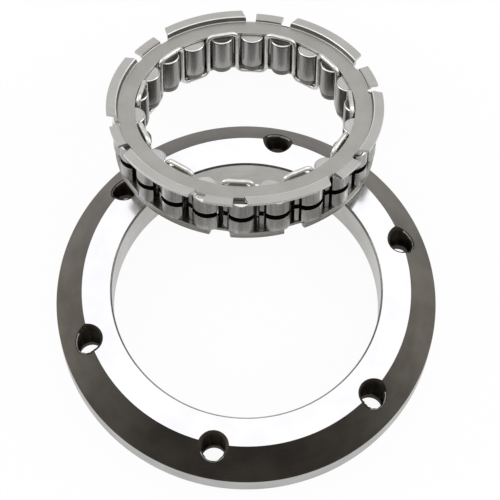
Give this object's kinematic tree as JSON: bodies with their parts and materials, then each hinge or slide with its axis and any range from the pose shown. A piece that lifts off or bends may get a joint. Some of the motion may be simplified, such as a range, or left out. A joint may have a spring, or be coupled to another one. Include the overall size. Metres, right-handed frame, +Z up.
{
  "type": "starter clutch",
  "caption": "Loose sprag insert with joggled end plates and a serpentine spring wire, leaning on its bolt-on bevelled outer ring.",
  "frame": {"origin": "on the table under the middle of the outer ring, at the centre of its bolt circle on the underside", "axes": "+Z up along the ring's bore axis, +Y from the ring's centre towards the leaning insert, +X to the right as seen with +Y away"},
  "size_m": [0.112, 0.1482, 0.0441],
  "materials": {
    "ring_steel": "polished flat, ground bore and turned bevel",
    "plate_steel": "satin, warm grey pressed sheet",
    "sprag_steel": "ground along the height",
    "wire_nickel": "bright drawn wire"
  },
  "bodies": {
    "ring": {"outer_ring": "ring_steel"},
    "insert": {"upper_plate": "plate_steel", "lower_plate": "plate_steel", "spacer_bars": "plate_steel", "spring_wire": "wire_nickel"},
    "sprag_01": {"sprag_01": "sprag_steel"},
    "sprag_02": {"sprag_02": "sprag_steel"},
    "sprag_03": {"sprag_03": "sprag_steel"},
    "sprag_04": {"sprag_04": "sprag_steel"},
    "sprag_05": {"sprag_05": "sprag_steel"},
    "sprag_06": {"sprag_06": "sprag_steel"},
    "sprag_07": {"sprag_07": "sprag_steel"},
    "sprag_08": {"sprag_08": "sprag_steel"},
    "sprag_09": {"sprag_09": "sprag_steel"},
    "sprag_10": {"sprag_10": "sprag_steel"},
    "sprag_11": {"sprag_11": "sprag_steel"},
    "sprag_12": {"sprag_12": "sprag_steel"},
    "sprag_13": {"sprag_13": "sprag_steel"},
    "sprag_14": {"sprag_14": "sprag_steel"},
    "sprag_15": {"sprag_15": "sprag_steel"},
    "sprag_16": {"sprag_16": "sprag_steel"},
    "sprag_17": {"sprag_17": "sprag_steel"},
    "sprag_18": {"sprag_18": "sprag_steel"},
    "sprag_19": {"sprag_19": "sprag_steel"},
    "sprag_20": {"sprag_20": "sprag_steel"},
    "sprag_21": {"sprag_21": "sprag_steel"},
    "sprag_22": {"sprag_22": "sprag_steel"}
  },
  "joints": [
    {"name": "insert_lift", "type": "slide", "parent": "ring", "child": "insert", "axis": [0, 0, 1], "range_m": [0, 0.04]},
    {"name": "sprag_01_rock", "type": "hinge", "parent": "insert", "child": "sprag_01", "pos_m": [-0.0023, 0.01859, 0.0336], "axis": [0, 0.3567, 0.9342], "range_deg": [0, 6], "stiffness_Nm_per_rad": 0.02, "springref_deg": -5.73},
    {"name": "sprag_02_rock", "type": "hinge", "parent": "insert", "child": "sprag_02", "pos_m": [0.00746, 0.01929, 0.03334], "axis": [0, 0.3567, 0.9342], "range_deg": [0, 6], "stiffness_Nm_per_rad": 0.02, "springref_deg": -5.73},
    {"name": "sprag_03_rock", "type": "hinge", "parent": "insert", "child": "sprag_03", "pos_m": [0.01662, 0.02252, 0.0321], "axis": [0, 0.3567, 0.9342], "range_deg": [0, 6], "stiffness_Nm_per_rad": 0.02, "springref_deg": -5.73},
    {"name": "sprag_04_rock", "type": "hinge", "parent": "insert", "child": "sprag_04", "pos_m": [0.02443, 0.02804, 0.03], "axis": [0, 0.3567, 0.9342], "range_deg": [0, 6], "stiffness_Nm_per_rad": 0.02, "springref_deg": -5.73},
    {"name": "sprag_05_rock", "type": "hinge", "parent": "insert", "child": "sprag_05", "pos_m": [0.03027, 0.03538, 0.02719], "axis": [0, 0.3567, 0.9342], "range_deg": [0, 6], "stiffness_Nm_per_rad": 0.02, "springref_deg": -5.73},
    {"name": "sprag_06_rock", "type": "hinge", "parent": "insert", "child": "sprag_06", "pos_m": [0.03365, 0.04397, 0.02391], "axis": [0, 0.3567, 0.9342], "range_deg": [0, 6], "stiffness_Nm_per_rad": 0.02, "springref_deg": -5.73},
    {"name": "sprag_07_rock", "type": "hinge", "parent": "insert", "child": "sprag_07", "pos_m": [0.0343, 0.0531, 0.02042], "axis": [0, 0.3567, 0.9342], "range_deg": [0, 6], "stiffness_Nm_per_rad": 0.02, "springref_deg": -5.73},
    {"name": "sprag_08_rock", "type": "hinge", "parent": "insert", "child": "sprag_08", "pos_m": [0.03218, 0.06203, 0.01701], "axis": [0, 0.3567, 0.9342], "range_deg": [0, 6], "stiffness_Nm_per_rad": 0.02, "springref_deg": -5.73},
    {"name": "sprag_09_rock", "type": "hinge", "parent": "insert", "child": "sprag_09", "pos_m": [0.02745, 0.07004, 0.01396], "axis": [0, 0.3567, 0.9342], "range_deg": [0, 6], "stiffness_Nm_per_rad": 0.02, "springref_deg": -5.73},
    {"name": "sprag_10_rock", "type": "hinge", "parent": "insert", "child": "sprag_10", "pos_m": [0.02049, 0.07648, 0.0115], "axis": [0, 0.3567, 0.9342], "range_deg": [0, 6], "stiffness_Nm_per_rad": 0.02, "springref_deg": -5.73},
    {"name": "sprag_11_rock", "type": "hinge", "parent": "insert", "child": "sprag_11", "pos_m": [0.01188, 0.08082, 0.00984], "axis": [0, 0.3567, 0.9342], "range_deg": [0, 6], "stiffness_Nm_per_rad": 0.02, "springref_deg": -5.73},
    {"name": "sprag_12_rock", "type": "hinge", "parent": "insert", "child": "sprag_12", "pos_m": [0.0023, 0.08273, 0.00911], "axis": [0, 0.3567, 0.9342], "range_deg": [0, 6], "stiffness_Nm_per_rad": 0.02, "springref_deg": -5.73},
    {"name": "sprag_13_rock", "type": "hinge", "parent": "insert", "child": "sprag_13", "pos_m": [-0.00746, 0.08203, 0.00937], "axis": [0, 0.3567, 0.9342], "range_deg": [0, 6], "stiffness_Nm_per_rad": 0.02, "springref_deg": -5.73},
    {"name": "sprag_14_rock", "type": "hinge", "parent": "insert", "child": "sprag_14", "pos_m": [-0.01662, 0.0788, 0.01061], "axis": [0, 0.3567, 0.9342], "range_deg": [0, 6], "stiffness_Nm_per_rad": 0.02, "springref_deg": -5.73},
    {"name": "sprag_15_rock", "type": "hinge", "parent": "insert", "child": "sprag_15", "pos_m": [-0.02443, 0.07328, 0.01272], "axis": [0, 0.3567, 0.9342], "range_deg": [0, 6], "stiffness_Nm_per_rad": 0.02, "springref_deg": -5.73},
    {"name": "sprag_16_rock", "type": "hinge", "parent": "insert", "child": "sprag_16", "pos_m": [-0.03027, 0.06594, 0.01552], "axis": [0, 0.3567, 0.9342], "range_deg": [0, 6], "stiffness_Nm_per_rad": 0.02, "springref_deg": -5.73},
    {"name": "sprag_17_rock", "type": "hinge", "parent": "insert", "child": "sprag_17", "pos_m": [-0.03365, 0.05735, 0.0188], "axis": [0, 0.3567, 0.9342], "range_deg": [0, 6], "stiffness_Nm_per_rad": 0.02, "springref_deg": -5.73},
    {"name": "sprag_18_rock", "type": "hinge", "parent": "insert", "child": "sprag_18", "pos_m": [-0.0343, 0.04822, 0.02229], "axis": [0, 0.3567, 0.9342], "range_deg": [0, 6], "stiffness_Nm_per_rad": 0.02, "springref_deg": -5.73},
    {"name": "sprag_19_rock", "type": "hinge", "parent": "insert", "child": "sprag_19", "pos_m": [-0.03218, 0.03929, 0.0257], "axis": [0, 0.3567, 0.9342], "range_deg": [0, 6], "stiffness_Nm_per_rad": 0.02, "springref_deg": -5.73},
    {"name": "sprag_20_rock", "type": "hinge", "parent": "insert", "child": "sprag_20", "pos_m": [-0.02745, 0.03129, 0.02875], "axis": [0, 0.3567, 0.9342], "range_deg": [0, 6], "stiffness_Nm_per_rad": 0.02, "springref_deg": -5.73},
    {"name": "sprag_21_rock", "type": "hinge", "parent": "insert", "child": "sprag_21", "pos_m": [-0.02049, 0.02485, 0.03121], "axis": [0, 0.3567, 0.9342], "range_deg": [0, 6], "stiffness_Nm_per_rad": 0.02, "springref_deg": -5.73},
    {"name": "sprag_22_rock", "type": "hinge", "parent": "insert", "child": "sprag_22", "pos_m": [-0.01188, 0.0205, 0.03287], "axis": [0, 0.3567, 0.9342], "range_deg": [0, 6], "stiffness_Nm_per_rad": 0.02, "springref_deg": -5.73}
  ],
  "couplings": [
    {"joint": "sprag_02_rock", "follows": "sprag_01_rock", "ratio": 1},
    {"joint": "sprag_03_rock", "follows": "sprag_01_rock", "ratio": 1},
    {"joint": "sprag_04_rock", "follows": "sprag_01_rock", "ratio": 1},
    {"joint": "sprag_05_rock", "follows": "sprag_01_rock", "ratio": 1},
    {"joint": "sprag_06_rock", "follows": "sprag_01_rock", "ratio": 1},
    {"joint": "sprag_07_rock", "follows": "sprag_01_rock", "ratio": 1},
    {"joint": "sprag_08_rock", "follows": "sprag_01_rock", "ratio": 1},
    {"joint": "sprag_09_rock", "follows": "sprag_01_rock", "ratio": 1},
    {"joint": "sprag_10_rock", "follows": "sprag_01_rock", "ratio": 1},
    {"joint": "sprag_11_rock", "follows": "sprag_01_rock", "ratio": 1},
    {"joint": "sprag_12_rock", "follows": "sprag_01_rock", "ratio": 1},
    {"joint": "sprag_13_rock", "follows": "sprag_01_rock", "ratio": 1},
    {"joint": "sprag_14_rock", "follows": "sprag_01_rock", "ratio": 1},
    {"joint": "sprag_15_rock", "follows": "sprag_01_rock", "ratio": 1},
    {"joint": "sprag_16_rock", "follows": "sprag_01_rock", "ratio": 1},
    {"joint": "sprag_17_rock", "follows": "sprag_01_rock", "ratio": 1},
    {"joint": "sprag_18_rock", "follows": "sprag_01_rock", "ratio": 1},
    {"joint": "sprag_19_rock", "follows": "sprag_01_rock", "ratio": 1},
    {"joint": "sprag_20_rock", "follows": "sprag_01_rock", "ratio": 1},
    {"joint": "sprag_21_rock", "follows": "sprag_01_rock", "ratio": 1},
    {"joint": "sprag_22_rock", "follows": "sprag_01_rock", "ratio": 1}
  ]
}
